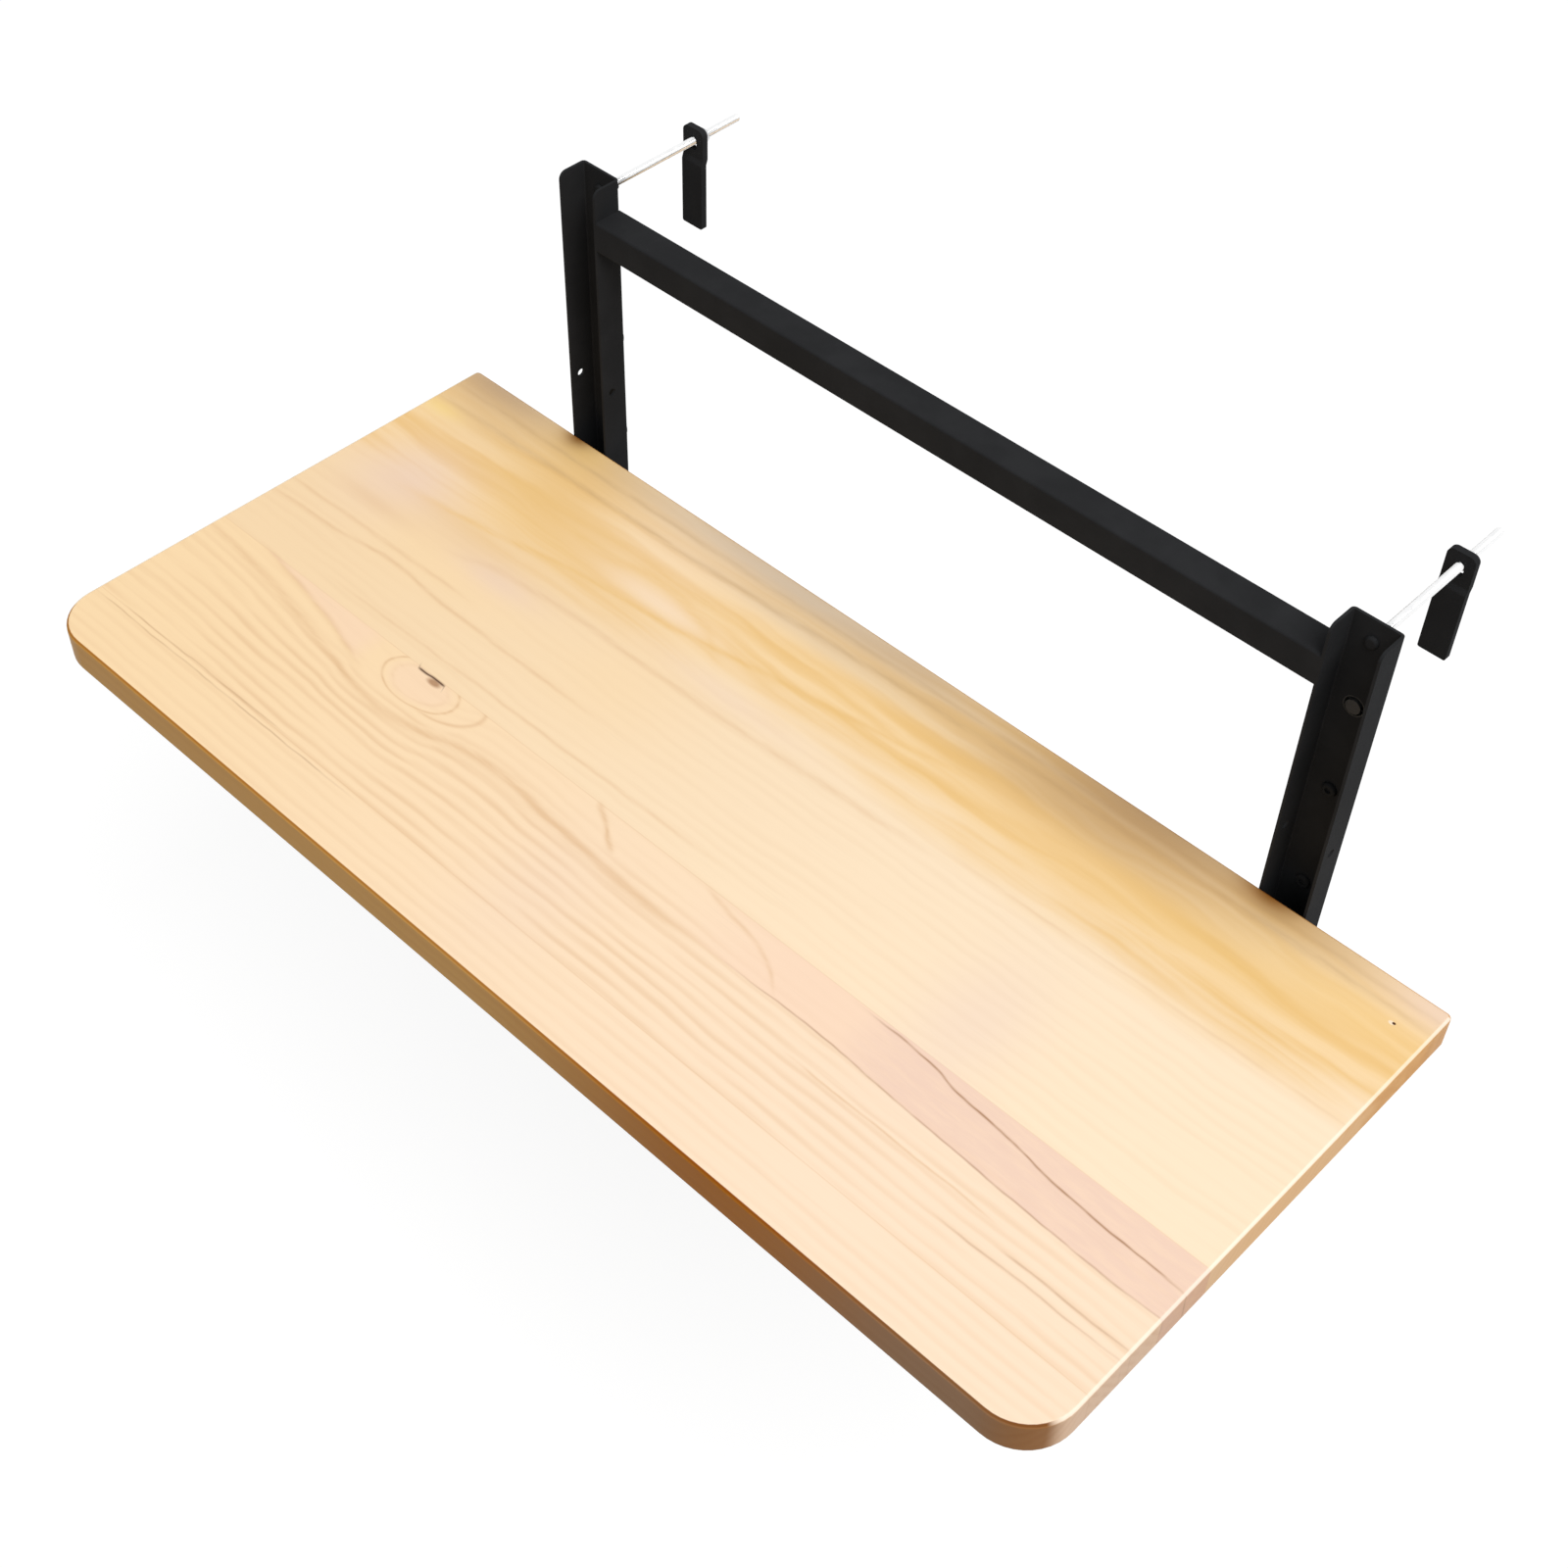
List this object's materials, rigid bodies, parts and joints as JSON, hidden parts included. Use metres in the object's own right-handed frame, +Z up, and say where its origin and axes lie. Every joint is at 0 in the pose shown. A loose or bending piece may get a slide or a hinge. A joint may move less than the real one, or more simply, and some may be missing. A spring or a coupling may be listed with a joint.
{
  "type": "folding balcony table",
  "caption": "Wooden table that hangs on a balcony railing: channel posts with rod clamps over the handrail, and a top on hinged arms and struts that folds down.",
  "frame": {"origin": "middle of the upper crossbar's back face", "axes": "+X along the railing, +Y out over the railing, away from the person at the table, +Z up"},
  "size_m": [0.9, 0.56, 0.463],
  "materials": {
    "pine": "clear satin varnish over pale pine",
    "black_steel": "satin black powder coat",
    "zinc": "bright zinc plate",
    "black_hardware": "black oxide",
    "rubber": "matt black rubber",
    "nylon": "natural nylon"
  },
  "bodies": {
    "frame": {"left_post": "black_steel", "right_post": "black_steel", "upper_crossbar": "black_steel", "lower_crossbar": "black_steel", "left_clamp_rod": "zinc", "right_clamp_rod": "zinc", "rod_caps": "black_hardware", "rod_nuts": "black_hardware", "push_in_buffers": "rubber", "screwed_buffers": "rubber", "buffer_screws": "black_hardware", "hinge_bolts": "zinc", "hinge_nuts": "zinc", "hinge_spacers": "nylon", "strut_bolts": "zinc", "strut_nuts": "zinc", "strut_spacers": "nylon"},
    "table": {"tabletop": "pine", "left_arm": "black_steel", "right_arm": "black_steel", "arm_screws": "zinc", "strut_catches": "zinc"},
    "left_stay": {"left_strut": "black_steel", "left_strut_pin": "zinc", "left_strut_glide": "nylon"},
    "left_clamp_ring": {"left_clamp_washer": "zinc"},
    "left_clamp_bar": {"left_clamp_plate": "black_steel"},
    "left_clamp_tightener": {"left_clamp_nut": "zinc"},
    "right_stay": {"right_strut": "black_steel", "right_strut_pin": "zinc", "right_strut_glide": "nylon"},
    "right_clamp_ring": {"right_clamp_washer": "zinc"},
    "right_clamp_bar": {"right_clamp_plate": "black_steel"},
    "right_clamp_tightener": {"right_clamp_nut": "zinc"}
  },
  "joints": [
    {"name": "table_fold", "type": "hinge", "parent": "frame", "child": "table", "pos_m": [0, -0.015, -0.232], "axis": [1, 0, 0], "range_deg": [0, 90]},
    {"name": "left_strut_swing", "type": "hinge", "parent": "frame", "child": "left_stay", "pos_m": [-0.322, -0.015, -0.352], "axis": [1, 0, 0], "range_deg": [0, 126.75]},
    {"name": "left_clamp_slide", "type": "slide", "parent": "frame", "child": "left_clamp_ring", "axis": [0, 1, 0], "range_m": [-0.075, 0.03]},
    {"name": "left_plate_swivel", "type": "hinge", "parent": "left_clamp_ring", "child": "left_clamp_bar", "pos_m": [-0.322, 0.0915, 0.02], "axis": [0, 1, 0], "continuous": true},
    {"name": "left_nut_spin", "type": "hinge", "parent": "left_clamp_ring", "child": "left_clamp_tightener", "pos_m": [-0.322, 0.0984, 0.02], "axis": [0, 1, 0], "continuous": true},
    {"name": "right_strut_swing", "type": "hinge", "parent": "frame", "child": "right_stay", "pos_m": [0.322, -0.015, -0.352], "axis": [1, 0, 0], "range_deg": [0, 126.75]},
    {"name": "right_clamp_slide", "type": "slide", "parent": "frame", "child": "right_clamp_ring", "axis": [0, 1, 0], "range_m": [-0.075, 0.03]},
    {"name": "right_plate_swivel", "type": "hinge", "parent": "right_clamp_ring", "child": "right_clamp_bar", "pos_m": [0.322, 0.0915, 0.02], "axis": [0, 1, 0], "continuous": true},
    {"name": "right_nut_spin", "type": "hinge", "parent": "right_clamp_ring", "child": "right_clamp_tightener", "pos_m": [0.322, 0.0984, 0.02], "axis": [0, 1, 0], "continuous": true}
  ],
  "couplings": [
    {"joint": "left_strut_swing", "follows": "table_fold", "ratio": 1.4083},
    {"joint": "right_strut_swing", "follows": "table_fold", "ratio": 1.4083}
  ]
}
